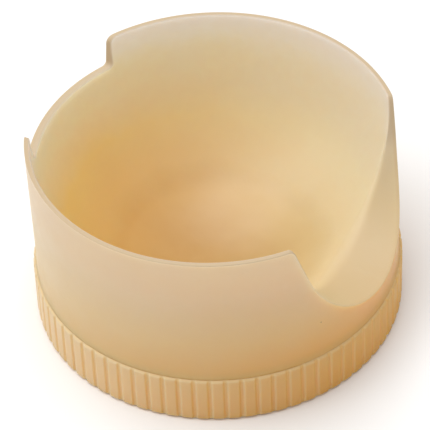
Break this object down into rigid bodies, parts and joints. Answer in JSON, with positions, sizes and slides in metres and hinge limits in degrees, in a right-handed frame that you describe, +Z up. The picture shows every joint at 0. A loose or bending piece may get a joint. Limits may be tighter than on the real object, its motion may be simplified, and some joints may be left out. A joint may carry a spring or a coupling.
{
  "type": "liquor pour spout",
  "caption": "Screw-on pour cup for a spirits bottle: round bowl with a U pouring trough and opposite notch, turning on a ribbed threaded collar, with a poppet outlet valve.",
  "frame": {"origin": "centre of the ribbed collar's flat bottom, on the collar's axis", "axes": "+Z up along the collar's axis, out of the bottle; +X towards the pouring trough"},
  "size_m": [0.0447, 0.0448, 0.0252],
  "materials": {
    "amber_polymer": "satin translucent amber moulding, deeper colour where it is thick",
    "collar_polymer": "satin translucent amber moulding, ribbed",
    "natural_acetal": "smooth natural white",
    "clear_silicone": "soft milky silicone"
  },
  "bodies": {
    "collar": {"grip_collar": "collar_polymer"},
    "cup": {"pour_cup": "amber_polymer", "retaining_ring": "natural_acetal", "neck_gasket": "clear_silicone", "outlet_seat": "natural_acetal", "seat_seal": "clear_silicone"},
    "poppet": {"valve_poppet": "natural_acetal", "poppet_keeper": "natural_acetal"}
  },
  "joints": [
    {"name": "cup_swivel", "type": "hinge", "parent": "collar", "child": "cup", "pos_m": [0, 0, 0.0065], "axis": [0, 0, 1], "continuous": true},
    {"name": "poppet_lift", "type": "slide", "parent": "cup", "child": "poppet", "axis": [0, 0, 1], "range_m": [0, 0.0013]}
  ]
}
